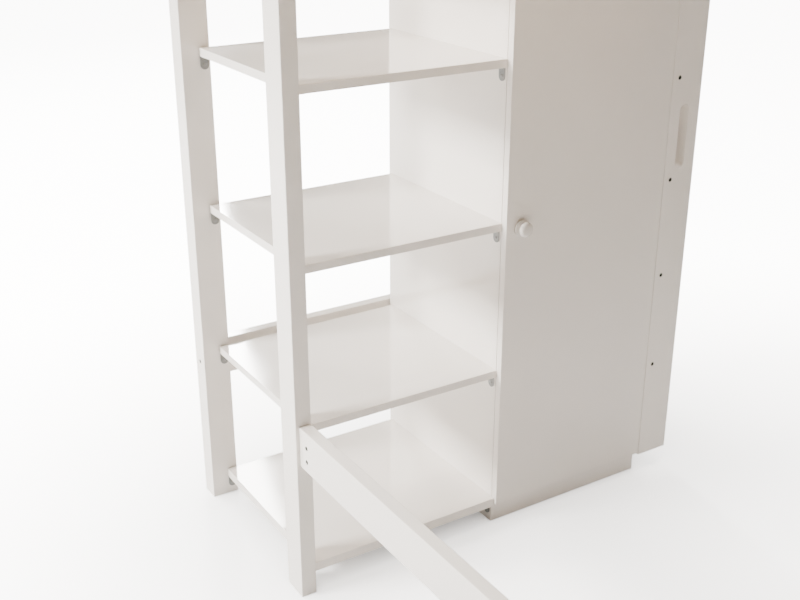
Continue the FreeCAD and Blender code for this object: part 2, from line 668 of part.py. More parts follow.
def make_knob():
    """Turned knob along -Y: a foot cut back next to the door, a neck and a rounded head."""
    centre = FreeCAD.Vector(door_x0 + knob_from_edge, 0, knob_height)

    def point(radius, depth):
        return centre + X * radius - Y * depth

    def line(*ends):
        return [Part.LineSegment(point(*first), point(*second)).toShape()
                for first, second in zip(ends, ends[1:])]

    def arc(middle_radius, middle_depth, radius, start, end):
        """Arc of the profile about a middle; angles in degrees, 0 outwards and 90 to the front."""
        turns = [math.radians(angle) for angle in (start, (start + end) / 2, end)]
        return [Part.Arc(*[point(middle_radius + radius * math.cos(turn),
                                 middle_depth + radius * math.sin(turn))
                           for turn in turns]).toShape()]

    cap_radius = (knob_head_radius ** 2 + knob_front_bulge ** 2) / (2 * knob_front_bulge)
    cap_middle = knob_depth - cap_radius
    rim_centre = knob_head_radius - knob_rim_radius
    rim_depth = math.sqrt((cap_radius - knob_rim_radius) ** 2 - rim_centre ** 2) + cap_middle
    cap_lean = math.degrees(math.atan2(rim_depth - cap_middle, rim_centre))
    foot_centre = knob_foot_radius - knob_foot_edge
    foot_side = knob_foot_front - knob_foot_edge
    neck_centre = knob_neck_radius + knob_neck_round
    neck_start = knob_foot_front + knob_neck_round
    head_back = knob_depth - knob_head_thickness
    neck_end = head_back - knob_neck_round
    back_centre = knob_head_radius - knob_back_edge
    back_side = head_back + knob_back_edge
    edges = line((0, 0), (knob_groove_radius, 0), (knob_groove_radius, knob_groove_depth),
                 (knob_foot_radius, knob_groove_depth), (knob_foot_radius, foot_side))
    edges += arc(foot_centre, foot_side, knob_foot_edge, 0, 90)
    edges += line((foot_centre, knob_foot_front), (neck_centre, knob_foot_front))
    edges += arc(neck_centre, neck_start, knob_neck_round, 270, 180)
    edges += line((knob_neck_radius, neck_start), (knob_neck_radius, neck_end))
    edges += arc(neck_centre, neck_end, knob_neck_round, 180, 90)
    edges += line((neck_centre, head_back), (back_centre, head_back))
    edges += arc(back_centre, back_side, knob_back_edge, -90, 0)
    edges += line((knob_head_radius, back_side), (knob_head_radius, rim_depth))
    edges += arc(rim_centre, rim_depth, knob_rim_radius, 0, cap_lean)
    edges += arc(0, cap_middle, cap_radius, cap_lean, 90)
    edges += line((0, knob_depth), (0, 0))
    body = Part.Face(Part.Wire(edges)).revolve(centre, Y, 360)
    bore = rod(centre, -Y, knob_screw_radius + screw_clearance, knob_hole_depth)
    add("door_knob", body.cut(bore))

    inner_face = centre + Y * door_thickness
    head = rod(inner_face, Y, knob_screw_head_radius, knob_screw_head_height)
    shank = rod(inner_face, -Y, knob_screw_radius, door_thickness + knob_hole_depth - 1)
    recess = hex_recess(inner_face + Y * knob_screw_head_height, -Y, knob_screw_head_height / 2)
    add("knob_screw", head.fuse(shank).cut(recess))
    cut("door", rod(centre, Y, knob_screw_radius + screw_clearance, door_thickness))


# ================================================================ concealed door hinges
def make_hinge(z):
    """Cup in the door, cranked link on a pin in the cup, and channel arm on the wardrobe's side."""
    cup_centre = FreeCAD.Vector(cup_x, door_thickness, z)
    cup = rod(cup_centre, -Y, cup_radius, cup_depth)
    flange = block(cup_x - cup_flange_back, cup_x + cup_flange_front, door_thickness,
                   door_thickness + cup_flange_thickness, z - cup_flange_half_height,
                   z + cup_flange_half_height)
    hollow = rod(cup_centre + Y * cup_flange_thickness, -Y, cup_radius - cup_wall,
                 cup_depth + cup_flange_thickness - cup_wall)
    cup_body = cup.fuse(eased(flange, Y, cup_flange_front)).cut(hollow)

    offset = pivot_x - cup_x
    inner_half_chord = math.sqrt((cup_radius - cup_wall) ** 2 - offset ** 2)
    pin_half_length = inner_half_chord + cup_wall / 4
    pivot = FreeCAD.Vector(pivot_x, link_pivot_depth, z)
    pin = rod(pivot - Z * pin_half_length, Z, link_pin_radius, 2 * pin_half_length)
    add("hinge_pins", pin)
    add("hinge_cups", cup_body.cut(pin))
    cut("door", rod(cup_centre, -Y, cup_radius, cup_depth))
    for side in (-1, 1):
        face = FreeCAD.Vector(cup_x - cup_screw_offset, door_thickness + cup_flange_thickness,
                              z + side * cup_screw_place)
        small_screw("hinge_cup_screws", "hinge_cups", "door", face, -Y, cup_flange_thickness,
                    bracket_screw_depth, False)

    half = link_height / 2
    eye = rod(pivot - Z * half, Z, link_eye_radius, link_height)
    bar_x = pivot_x - link_crank
    crank = block(bar_x - link_thickness / 2, pivot_x, link_pivot_depth - link_thickness / 2,
                  link_pivot_depth + link_thickness / 2, z - half, z + half)
    bar = block(bar_x - link_thickness / 2, bar_x + link_thickness / 2, link_pivot_depth,
                link_pivot_depth + link_length, z - half, z + half)
    eye_hole = rod(pivot - Z * link_height, Z, link_pin_radius + link_eye_clearance, 2 * link_height)
    add("hinge_links", eye.fuse([crank, bar]).removeSplitter().cut(eye_hole))
    make_hinge_arm(z)


def make_hinge_arm(z):
    wall_x = wardrobe_right_x0
    half_inside = link_height / 2 + arm_clearance
    half_outside = half_inside + arm_wall
    web_x = wall_x - arm_wall - arm_inside_width
    channel = block(web_x - arm_wall, wall_x, arm_front, arm_back, z - half_outside, z + half_outside)
    inside = block(web_x, wall_x - arm_wall, arm_front - 1, arm_back + 1, z - half_inside, z + half_inside)
    plate = block(wall_x - arm_wall, wall_x, plate_front, arm_back, z - plate_half_height,
                  z + plate_half_height)
    add("hinge_arms", channel.fuse(eased(plate, X, edge_radius)).cut(inside).removeSplitter())
    for y in plate_screw_places:
        for side in (-1, 1):
            face = FreeCAD.Vector(wall_x - arm_wall, y, z + side * plate_screw_height)
            small_screw("wood_screws", "hinge_arms", "wardrobe_right_side", face, X, arm_wall,
                        bracket_screw_depth, False)


# ================================================================ ladder
def make_ladder():
    slot_x = ladder_x1 - grip_slot_inset
    slot_z = grip_slot_bottom + grip_slot_height / 2
    for node, y0 in (("ladder_front_board", 0), ("ladder_rear_board", rear_ladder_y0)):
        board = block(ladder_x0, ladder_x1, y0, y0 + board_thickness, ladder_bottom, post_height)
        add(node, eased(board, Z, edge_radius))
        outline = slot_outline(FreeCAD.Vector(slot_x, y0, slot_z), X, Z, grip_slot_width, grip_slot_height)
        cut(node, outline.extrude(Y * board_thickness))
        middle_y = y0 + board_thickness / 2
        for height in ladder_rail_screw_heights:
            face = FreeCAD.Vector(right_rail_x0, middle_y, bunk_height + height)
            furniture_screw("right_bunk_rail", node, face, X, board_thickness)
    for height in ladder_side_screw_heights:
        face = FreeCAD.Vector(wardrobe_right_x0, rear_ladder_y0 + board_thickness / 2, height)
        furniture_screw("wardrobe_right_side", "ladder_rear_board", face, X, panel_thickness)
    for step, middle_z in enumerate(tread_centres):
        tread = "ladder_tread_" + str(step + 1)
        z0 = middle_z - board_thickness / 2
        shape = block(ladder_x0 + tread_wall_gap, ladder_x1, board_thickness, rear_ladder_y0, z0,
                      z0 + board_thickness)
        add(tread, eased(shape, Y, edge_radius))
        joints = (("ladder_front_board", 0, board_thickness, Y),
                  ("ladder_rear_board", cabinet_depth, rear_ladder_y0, -Y))
        for board, outer_y, joint_y, inward in joints:
            seat = FreeCAD.Vector(tread_bolt_x, outer_y, middle_z)
            bolt_and_nut(board, tread, seat, inward, board_thickness, -Z)
            dowel(board, tread, FreeCAD.Vector(tread_dowel_x, joint_y, middle_z), Y)


# ================================================================ the whole bed
def write_pieces():
    """Drills every node's holes, moves it to the bed's own origin and writes its file."""
    middle_x = (left_post_x0 + ladder_x1) / 2
    middle_y = (near_post_y0 + far_post_y1) / 2
    shift = FreeCAD.Vector(-middle_x, -middle_y, 0)
    os.makedirs("parts", exist_ok=True)
    for node, shapes in solids.items():
        finished = []
        for shape in shapes:
            near = [hole for hole in holes.get(node, []) if hole.BoundBox.intersect(shape.BoundBox)]
            if near:
                shape = shape.cut(near)
            finished += shape.Solids
        piece = finished[0] if len(finished) == 1 else Part.makeCompound(finished)
        piece.translate(shift)
        piece.exportStep("parts/" + node + ".step")
        print(node, len(finished), "solid(s)", round(piece.Volume / 1000), "cm3")


make_posts()
make_bunk()
make_guards()
make_low_rails()
make_slats()
make_shelves()
make_wardrobe()
make_door()
make_knob()
for hinge_height in hinge_heights:
    make_hinge(hinge_height)
make_ladder()
write_pieces()
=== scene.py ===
# %% [markdown]
# # A white cabin bed, dressed for its portrait
# The construction comes in as a finished model with every board, bolt and hinge in its place.
# This lesson gives it its finish: satin lacquer, bare softwood, zinc and nickel. It also makes
# the small repeated things again with finer shapes, and sets up a pale studio and a camera.
# Everything is in metres, with the floor at zero height.

# %% Load the bed
import math
import random

import bmesh
import bpy
from mathutils import Matrix, Quaternion, Vector


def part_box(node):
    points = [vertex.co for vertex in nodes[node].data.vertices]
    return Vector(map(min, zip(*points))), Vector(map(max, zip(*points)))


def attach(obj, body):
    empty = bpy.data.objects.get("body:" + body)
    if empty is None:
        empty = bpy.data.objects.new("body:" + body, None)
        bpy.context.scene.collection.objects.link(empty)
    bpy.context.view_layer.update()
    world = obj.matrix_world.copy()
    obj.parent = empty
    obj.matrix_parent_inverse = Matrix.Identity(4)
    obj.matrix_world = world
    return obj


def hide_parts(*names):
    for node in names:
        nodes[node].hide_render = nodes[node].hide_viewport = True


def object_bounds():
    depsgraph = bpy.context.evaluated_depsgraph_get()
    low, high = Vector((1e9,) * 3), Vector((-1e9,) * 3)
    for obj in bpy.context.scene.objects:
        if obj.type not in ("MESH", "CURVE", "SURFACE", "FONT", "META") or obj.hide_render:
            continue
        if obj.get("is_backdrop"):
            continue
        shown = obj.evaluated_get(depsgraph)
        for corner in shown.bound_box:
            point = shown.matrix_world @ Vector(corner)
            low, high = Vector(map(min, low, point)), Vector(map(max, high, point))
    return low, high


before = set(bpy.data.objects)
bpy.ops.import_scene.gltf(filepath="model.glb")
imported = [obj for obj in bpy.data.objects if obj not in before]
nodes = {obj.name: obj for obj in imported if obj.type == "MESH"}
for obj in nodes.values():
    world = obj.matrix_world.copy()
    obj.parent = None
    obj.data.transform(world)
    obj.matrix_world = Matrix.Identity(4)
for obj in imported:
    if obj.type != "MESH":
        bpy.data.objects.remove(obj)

cad_low, cad_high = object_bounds()
mm = 0.001
print("nodes", len(nodes), "box", [round(v, 3) for v in (*cad_low, *cad_high)])

# %% [markdown]
# ## The camera
# Three families of parallel edges meet in three vanishing points, and those fix a camera's
# turn, tilt and lens. Its place is measured from the foot of the shelf post, where the shelf
# front and the bed's left side meet, so that it follows the bed if the origin ever moves.

# %% Camera beside the open shelves
corner = Vector((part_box("shelf_post")[0].x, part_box("door")[0].y, 0))
camera_offset = Vector((-0.8801, -1.8060, 1.540))
camera_tilt = math.radians(22.74)
camera_turn = math.radians(32.06)
focal_pixels = 1118.3
picture_pixels = 800
sensor_width = 36.0

camera_data = bpy.data.cameras.new("camera")
camera_data.sensor_width = sensor_width
camera_data.lens = focal_pixels / picture_pixels * sensor_width
camera = bpy.data.objects.new("camera", camera_data)
camera.location = corner + camera_offset
camera.rotation_euler = (math.pi / 2 - camera_tilt, 0, -camera_turn)
bpy.context.scene.collection.objects.link(camera)
bpy.context.scene.camera = camera
print("camera at", [round(v, 3) for v in camera.location], "lens", round(camera_data.lens, 2))

# %% [markdown]
# ## The studio
# White furniture in a white room keeps its shape only through small differences of light. The
# main lamp stands at the left, a little behind the line of the shelf fronts, so that left-hand
# faces are the brightest and front faces stay greyer. A second lamp stands behind on the left,
# and one fills from high above. A tall narrow lamp at the back leans to the right: it is the
# streak that lies on the left ends of the glossy shelves. A weak lamp hangs outside the near
# end and shines down steeply, so that it lights that end's boards and its beam meets the floor
# before the wardrobe. The white backdrop is only seen, and lights nothing.


# %% Node helpers
def principled(material):
    material.use_nodes = True
    return material.node_tree.nodes["Principled BSDF"]


def add_node(tree, kind, **settings):
    node = tree.nodes.new(kind)
    for name, value in settings.items():
        setattr(node, name, value)
    return node


def set_inputs(node, **values):
    for name, value in values.items():
        node.inputs[name.replace("_", " ")].default_value = value


# %% Floor that bounces light
studio_white = (1, 0.985, 0.965, 1)


def floor_plane(name, height, half=40.0):
    mesh = bpy.data.meshes.new(name)
    mesh.from_pydata([(-half, -half, height), (half, -half, height),
                      (half, half, height), (-half, half, height)], [], [(0, 1, 2, 3)])
    plane = bpy.data.objects.new(name, mesh)
    bpy.context.scene.collection.objects.link(plane)
    plane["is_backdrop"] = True
    paper = bpy.data.materials.new(name + "_paper")
    set_inputs(principled(paper), Base_Color=(0.95, 0.945, 0.94, 1), Roughness=0.75)
    mesh.materials.append(paper)
    return plane, paper


def glow_by_distance(paper, start, near, far, near_glow, far_glow):
    """Lets a floor glow by the distance from one spot; returns the tree and the last socket."""
    tree = paper.node_tree
    set_inputs(principled(paper), Emission_Color=studio_white)
    place = add_node(tree, "ShaderNodeTexCoord")
    reach = add_node(tree, "ShaderNodeVectorMath", operation="DISTANCE")
    reach.inputs[1].default_value = start
    tree.links.new(place.outputs["Object"], reach.inputs[0])
    fade = add_node(tree, "ShaderNodeMapRange", interpolation_type="SMOOTHSTEP")
    set_inputs(fade, From_Min=near, From_Max=far, To_Min=near_glow, To_Max=far_glow)
    tree.links.new(reach.outputs["Value"], fade.inputs["Value"])
    return tree, fade.outputs["Result"]


bounce_floor, bounce_paper = floor_plane("bounce_floor", -0.5 * mm)
bounce_floor.visible_camera = False
tree, glow = glow_by_distance(bounce_paper, start=(0.5, 0.15, 0), near=0.2, far=0.85,
                              near_glow=0.55, far_glow=0.0)
tree.links.new(glow, principled(bounce_paper).inputs["Emission Strength"])
print("bounce floor", bounce_paper.name)

# %% [markdown]
# ### A floor that fades to white
# A real studio lights its floor far more than the furniture, until it is almost pure white. The
# camera sees a second floor that glows by itself, and that lights or mirrors nothing. Its glow
# rises with the distance from the shelves and sinks close to whatever stands on it: this lower
# glow near the bed is painted shade, and an ambient occlusion factor adds painted contact shadows.

# %% Floor that is seen
floor, floor_paper = floor_plane("seen_floor", 0.0)
floor.visible_diffuse = False
floor.visible_glossy = False
floor.visible_shadow = False
backdrop_glow = 11.0
painted_shadow_reach = 0.6
# painted shade: the glow is lower near the bed, and ambient occlusion darkens it further into
# painted contact shadows
tree, glow = glow_by_distance(floor_paper, start=(0, 0, 0), near=0.7, far=2.6,
                              near_glow=3.5, far_glow=backdrop_glow)
painted_contact_shadow = add_node(tree, "ShaderNodeAmbientOcclusion", samples=16)
set_inputs(painted_contact_shadow, Distance=painted_shadow_reach)
shaded = add_node(tree, "ShaderNodeMath", operation="MULTIPLY")
tree.links.new(glow, shaded.inputs[0])
tree.links.new(painted_contact_shadow.outputs["AO"], shaded.inputs[1])
tree.links.new(shaded.outputs["Value"], principled(floor_paper).inputs["Emission Strength"])
print("seen floor", floor_paper.name)


# %% Lights and surroundings
def soft_panel(name, place, aim, width, height, power, colour, lean=0, spread=180):
    """A rectangular lamp at a place, facing an aim; its lean and spread are in degrees."""
    data = bpy.data.lights.new(name, "AREA")
    data.shape = "RECTANGLE"
    data.size = width
    data.size_y = height
    data.energy = power
    data.color = colour
    data.spread = math.radians(spread)
    lamp = bpy.data.objects.new(name, data)
    lamp.location = place
    turn = (Vector(aim) - Vector(place)).to_track_quat("-Z", "Y")
    turn = turn @ Quaternion((0, 0, 1), math.radians(lean))
    lamp.rotation_euler = turn.to_euler()
    lamp.visible_camera = False
    bpy.context.scene.collection.objects.link(lamp)


bay = (-0.2, 0.77, 0.6)
cool, warm = (1.0, 0.985, 0.96), (1.0, 0.93, 0.85)
soft_panel("left_panel", (-4.68, 1.64, 2.63), bay,
           width=1.6, height=0.9, power=710, colour=cool)
soft_panel("back_left_panel", (-1.95, 5.0, 2.65), bay,
           width=2.4, height=1.3, power=315, colour=cool)
soft_panel("leaning_strip", (1.6, 6.135, 3.4), (-0.4, 0.8, 0.5),
           width=0.55, height=1.9, power=330, colour=cool, lean=13)
soft_panel("top_fill", (0.3, 0.5, 5.53), bay,
           width=1.9, height=1.9, power=290, colour=warm)
soft_panel("near_end_fill", (0, -1.95, 2.95), (0, cad_low.y, 0.95),
           width=1.6, height=0.5, power=7, colour=warm, spread=36)
world = bpy.data.worlds.new("white_backdrop")
world.use_nodes = True
set_inputs(world.node_tree.nodes["Background"], Color=studio_white, Strength=backdrop_glow)
for kind in ("diffuse", "glossy", "transmission", "scatter"):
    setattr(world.cycles_visibility, kind, False)
bpy.context.scene.world = world

# %% [markdown]
# ## Satin lacquer
# The real boards are sprayed white. Sprayed lacquer is never quite flat: it has a very fine
# ripple that breaks up reflections, its gloss wanders a little, and on solid wood a trace of
# the grain stays under it, along each board. One function makes all of these, and each board
# gets the version whose grain runs its own way. Everything is read from Object coordinates, so
# the pattern is fixed to the wood.


# %% Lacquer
ripple_depth, grain_depth = 0.05 * mm, 0.12 * mm


def lacquer(name, tone, grain_axis=None, gloss=0.085):
    material = bpy.data.materials.new(name)
    shader = principled(material)
    tree = material.node_tree
    links = tree.links
    place = add_node(tree, "ShaderNodeTexCoord")

    clouds = add_node(tree, "ShaderNodeTexNoise")
    set_inputs(clouds, Scale=5.0, Detail=3.0, Roughness=0.5)
    links.new(place.outputs["Object"], clouds.inputs["Vector"])
    tint = add_node(tree, "ShaderNodeMix", data_type="RGBA")
    tint.inputs["A"].default_value = (*tone, 1)
    tint.inputs["B"].default_value = (tone[0] * 0.975, tone[1] * 0.97, tone[2] * 0.96, 1)
    links.new(clouds.outputs["Fac"], tint.inputs["Factor"])
    links.new(tint.outputs["Result"], shader.inputs["Base Color"])

    shine = add_node(tree, "ShaderNodeMapRange")
    set_inputs(shine, From_Min=0.3, From_Max=0.7, To_Min=gloss - 0.03, To_Max=gloss + 0.04)
    links.new(clouds.outputs["Fac"], shine.inputs["Value"])
    links.new(shine.outputs["Result"], shader.inputs["Roughness"])

    ripple = add_node(tree, "ShaderNodeTexNoise")
    set_inputs(ripple, Scale=420.0, Detail=2.0, Roughness=0.6)
    links.new(place.outputs["Object"], ripple.inputs["Vector"])
    bump = add_node(tree, "ShaderNodeBump")
    set_inputs(bump, Strength=0.25, Distance=ripple_depth)
    links.new(ripple.outputs["Fac"], bump.inputs["Height"])
    links.new(bump.outputs["Normal"], shader.inputs["Normal"])

    if grain_axis is not None:
        stretch = [60.0, 60.0, 60.0]
        stretch[grain_axis] = 2.5
        mapping = add_node(tree, "ShaderNodeMapping")
        mapping.inputs["Scale"].default_value = stretch
        links.new(place.outputs["Object"], mapping.inputs["Vector"])
        grain = add_node(tree, "ShaderNodeTexNoise")
        set_inputs(grain, Scale=1.0, Detail=5.0, Roughness=0.65, Distortion=0.6)
        links.new(mapping.outputs["Vector"], grain.inputs["Vector"])
        grain_bump = add_node(tree, "ShaderNodeBump")
        set_inputs(grain_bump, Strength=0.3, Distance=grain_depth)
        links.new(grain.outputs["Fac"], grain_bump.inputs["Height"])
        links.new(grain_bump.outputs["Normal"], bump.inputs["Normal"])
    return material


white_tone = (0.85, 0.80, 0.745)
panel_lacquer = lacquer("panel_lacquer", white_tone)
grain_lacquers = [lacquer("board_lacquer_" + "xyz"[axis], white_tone, axis) for axis in range(3)]
knob_lacquer = lacquer("knob_lacquer", (0.70, 0.66, 0.615), gloss=0.2)
back_lacquer = lacquer("back_board_lacquer", (0.79, 0.78, 0.76), gloss=0.45)
print("lacquers", [m.name for m in (panel_lacquer, *grain_lacquers, knob_lacquer, back_lacquer)])

# %% [markdown]
# ## Bare wood
# Slats and their ledges are planed softwood. Growth rings make long bands, so a wave texture is
# stretched far along the board and bent by noise, and small dark knots sit between the bands.
# Beech dowels get the same recipe in a calmer, redder tone.


# %% Softwood and beech
band_depth = 0.3 * mm


def bare_wood(name, light, dark, grain_axis, band_scale, knots):
    material = bpy.data.materials.new(name)
    shader = principled(material)
    tree = material.node_tree
    links = tree.links
    place = add_node(tree, "ShaderNodeTexCoord")
    stretch = [band_scale, band_scale, band_scale]
    stretch[grain_axis] = band_scale * 0.04
    mapping = add_node(tree, "ShaderNodeMapping")
    mapping.inputs["Scale"].default_value = stretch
    links.new(place.outputs["Object"], mapping.inputs["Vector"])

    rings = add_node(tree, "ShaderNodeTexNoise")
    set_inputs(rings, Scale=1.0, Detail=6.0, Roughness=0.6, Distortion=1.2)
    links.new(mapping.outputs["Vector"], rings.inputs["Vector"])
    ramp = add_node(tree, "ShaderNodeValToRGB")
    ramp.color_ramp.elements[0].position = 0.35
    ramp.color_ramp.elements[0].color = (*dark, 1)
    ramp.color_ramp.elements[1].position = 0.65
    ramp.color_ramp.elements[1].color = (*light, 1)
    links.new(rings.outputs["Fac"], ramp.inputs["Fac"])

    spots = add_node(tree, "ShaderNodeTexVoronoi")
    set_inputs(spots, Scale=4.0)
    links.new(place.outputs["Object"], spots.inputs["Vector"])
    knot = add_node(tree, "ShaderNodeMapRange")
    set_inputs(knot, From_Min=0.03, From_Max=0.07, To_Min=knots, To_Max=0.0)
    links.new(spots.outputs["Distance"], knot.inputs["Value"])
    mix = add_node(tree, "ShaderNodeMix", data_type="RGBA")
    mix.inputs["B"].default_value = (dark[0] * 0.4, dark[1] * 0.3, dark[2] * 0.25, 1)
    links.new(knot.outputs["Result"], mix.inputs["Factor"])
    links.new(ramp.outputs["Color"], mix.inputs["A"])
    links.new(mix.outputs["Result"], shader.inputs["Base Color"])

    bump = add_node(tree, "ShaderNodeBump")
    set_inputs(bump, Strength=0.35, Distance=band_depth)
    links.new(rings.outputs["Fac"], bump.inputs["Height"])
    links.new(bump.outputs["Normal"], shader.inputs["Normal"])
    set_inputs(shader, Roughness=0.62)
    return material


softwood = {"light": (0.80, 0.64, 0.44), "dark": (0.62, 0.44, 0.26),
            "band_scale": 70.0, "knots": 0.8}
softwood_x = bare_wood("softwood_across", grain_axis=0, **softwood)
softwood_y = bare_wood("softwood_along", grain_axis=1, **softwood)
beech = bare_wood("beech", light=(0.62, 0.43, 0.28), dark=(0.50, 0.32, 0.19), grain_axis=2,
                  band_scale=300.0, knots=0.0)
print("woods", softwood_x.name, softwood_y.name, beech.name)

# %% [markdown]
# ## Metals, plastic and rubber
# Plated steel is metallic with a fine uneven gloss. The bolts and nuts have a dark zinc finish,
# so that they stand out as small dark dots, and the wood screws a paler one. Nickel is warmer
# and clearer, chrome is nearly a mirror. The brackets are pressed steel in a satin grey.


# %% Metals and small parts
def metal(name, colour, roughness, spread, metallic=1.0, cloud_scale=300.0, dents=0.02 * mm):
    material = bpy.data.materials.new(name)
    shader = principled(material)
    tree = material.node_tree
    links = tree.links
    set_inputs(shader, Metallic=metallic)
    place = add_node(tree, "ShaderNodeTexCoord")
    clouds = add_node(tree, "ShaderNodeTexNoise")
    set_inputs(clouds, Scale=cloud_scale, Detail=4.0, Roughness=0.55)
    links.new(place.outputs["Object"], clouds.inputs["Vector"])
    tint = add_node(tree, "ShaderNodeMix", data_type="RGBA")
    tint.inputs["A"].default_value = (*colour, 1)
    tint.inputs["B"].default_value = (*[c * 0.82 for c in colour], 1)
    links.new(clouds.outputs["Fac"], tint.inputs["Factor"])
    links.new(tint.outputs["Result"], shader.inputs["Base Color"])
    shine = add_node(tree, "ShaderNodeMapRange")
    set_inputs(shine, From_Min=0.25, From_Max=0.75, To_Min=roughness, To_Max=roughness + spread)
    links.new(clouds.outputs["Fac"], shine.inputs["Value"])
    links.new(shine.outputs["Result"], shader.inputs["Roughness"])
    bump = add_node(tree, "ShaderNodeBump")
    set_inputs(bump, Strength=0.4, Distance=dents)
    links.new(clouds.outputs["Fac"], bump.inputs["Height"])
    links.new(bump.outputs["Normal"], shader.inputs["Normal"])
    return material


dark_zinc = metal("dark_zinc_steel", (0.075, 0.075, 0.07), 0.2, 0.1)
zinc = metal("zinc_plated_steel", (0.33, 0.33, 0.32), 0.36, 0.14)
bracket_grey = metal("satin_grey_steel", (0.27, 0.27, 0.255), 0.38, 0.12, metallic=0.35)
nickel = metal("nickel_plated_steel", (0.66, 0.64, 0.60), 0.2, 0.12)
chrome = metal("chrome_tube", (0.85, 0.85, 0.86), 0.05, 0.05, cloud_scale=40.0, dents=0.005 * mm)
plastic = metal("white_moulding", (0.80, 0.79, 0.77), 0.4, 0.1, metallic=0.0)
rubber = metal("clear_bumper", (0.62, 0.62, 0.60), 0.35, 0.1, metallic=0.0)
print("metals and small parts made")

# %% [markdown]
# ## Dress the boards
# The boards already have their right shape and their eased edges, so they stay as they are and
# only get a finish. A small rule picks the lacquer whose grain runs along the board's longest
# side. Wide panels are man-made board and have no grain.

# %% Give every node its finish
bare = {"left_slat_ledge": softwood_y, "right_slat_ledge": softwood_y, "slats": softwood_x,
        "wood_dowels": beech, "wardrobe_back": back_lacquer, "hanging_rail": chrome,
        "hanging_rail_sockets": plastic, "door_knob": knob_lacquer, "door_buffers": rubber,
        "shelf_brackets": bracket_grey}
metal_words = {"bolts": dark_zinc, "nuts": dark_zinc, "screw": zinc, "pins": nickel,
               "hinge": nickel}
panel_words = ("shelf", "wardrobe", "door")


def finish_for(node):
    if node in bare:
        return bare[node]
    for word, material in metal_words.items():
        if word in node:
            return material
    if any(word in node for word in panel_words) and not node.endswith("post"):
        return panel_lacquer
    low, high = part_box(node)
    size = high - low
    return grain_lacquers[max(range(3), key=lambda axis: size[axis])]


for name, thing in nodes.items():
    thing.data.materials.clear()
    thing.data.materials.append(finish_for(name))
print("finished", len(nodes), "nodes")

# %% [markdown]
# ## Things that repeat
# The bed is held together by more than two hundred small fasteners of a few kinds, and the
# shelves rest on sixteen equal brackets. Each kind is shaped once, with the rounded rims and
# key holes that catch the light. Geometry Nodes then set it on every place where the
# construction has one, turned the way that one faces.


# %% Find each separate solid
weld_distance = 0.002 * mm


def solids_of(node):
    """Corner points of every separate solid of a node."""
    shape = bmesh.new()
    shape.from_mesh(nodes[node].data)
    bmesh.ops.remove_doubles(shape, verts=shape.verts, dist=weld_distance)
    seen = set()
    found = []
    for start in shape.verts:
        if start.index in seen:
            continue
        seen.add(start.index)
        group, front = [], [start]
        while front:
            vert = front.pop()
            group.append(vert.co.copy())
            for edge in vert.link_edges:
                other = edge.other_vert(vert)
                if other.index not in seen:
                    seen.add(other.index)
                    front.append(other)
        found.append(group)
    shape.free()
    return found


def span(points):
    low = Vector([min(point[axis] for point in points) for axis in range(3)])
    high = Vector([max(point[axis] for point in points) for axis in range(3)])
    return low, high


def head_place(points):
    """Middle of a fastener's head face, the way it faces and the fastener's length."""
    low, high = span(points)
    middle = (low + high) / 2
    axis = max(range(3), key=lambda side: high[side] - low[side])

    def reach(end):
        around = [point - middle for point in points if abs(point[axis] - end) < 0.3 * mm]
        return max(math.hypot(gap[(axis + 1) % 3], gap[(axis + 2) % 3]) for gap in around)

    outward = Vector((0, 0, 0))
    outward[axis] = 1 if reach(high[axis]) > reach(low[axis]) else -1
    length = high[axis] - low[axis]
    return middle + outward * length / 2, outward, length


print("solids of frame_bolts:", len(solids_of("frame_bolts")),
      "first:", head_place(solids_of("frame_bolts")[0]))


# %% Shape tools
def turned(name, profile, steps=40):
    """Turns a profile of (radius, height) points about the z axis, as on a lathe."""
    shape = bmesh.new()
    rings = []
    for radius, height in profile:
        if radius < weld_distance / 1000:
            rings.append([shape.verts.new((0, 0, height))])
            continue
        ring = []
        for step in range(steps):
            angle = 2 * math.pi * step / steps
            place = (radius * math.cos(angle), radius * math.sin(angle), height)
            ring.append(shape.verts.new(place))
        rings.append(ring)
    for first, second in zip(rings, rings[1:]):
        for step in range(steps):
            after = (step + 1) % steps
            if len(first) == 1:
                shape.faces.new((first[0], second[step], second[after]))
            elif len(second) == 1:
                shape.faces.new((first[step], first[after], second[0]))
            else:
                shape.faces.new((first[step], first[after], second[after], second[step]))
    bmesh.ops.recalc_face_normals(shape, faces=shape.faces)
    return finished(name, shape)


def finished(name, shape, sharp_angle=35):
    """Makes an object of a bmesh, smooth except across sharp edges."""
    mesh = bpy.data.meshes.new(name)
    shape.to_mesh(mesh)
    shape.free()
    mesh.shade_smooth()
    mesh.set_sharp_from_angle(angle=math.radians(sharp_angle))
    thing = bpy.data.objects.new(name, mesh)
    bpy.context.scene.collection.objects.link(thing)
    return thing


def arc(centre, radius, start, end, steps):
    """Points of a round stretch of a profile, angles in degrees."""
    points = []
    for step in range(steps + 1):
        angle = math.radians(start + (end - start) * step / steps)
        points.append((centre[0] + radius * math.cos(angle), centre[1] + radius * math.sin(angle)))
    return points


def evaluated_mesh(thing):
    """Plain mesh of an object with its modifiers worked in."""
    bpy.context.view_layer.update()
    graph = bpy.context.evaluated_depsgraph_get()
    return bpy.data.meshes.new_from_object(thing.evaluated_get(graph))


def worked_in(thing):
    mesh = evaluated_mesh(thing)
    thing.modifiers.clear()
    thing.data = mesh
    return thing


def discard(*things):
    for thing in things:
        bpy.data.objects.remove(thing)


def cut_out(thing, cutter):
    """Cuts one shape out of another."""
    boolean = thing.modifiers.new("cut", "BOOLEAN")
    boolean.object = cutter
    boolean.solver = "EXACT"
    worked_in(thing)
    discard(cutter)
    return thing


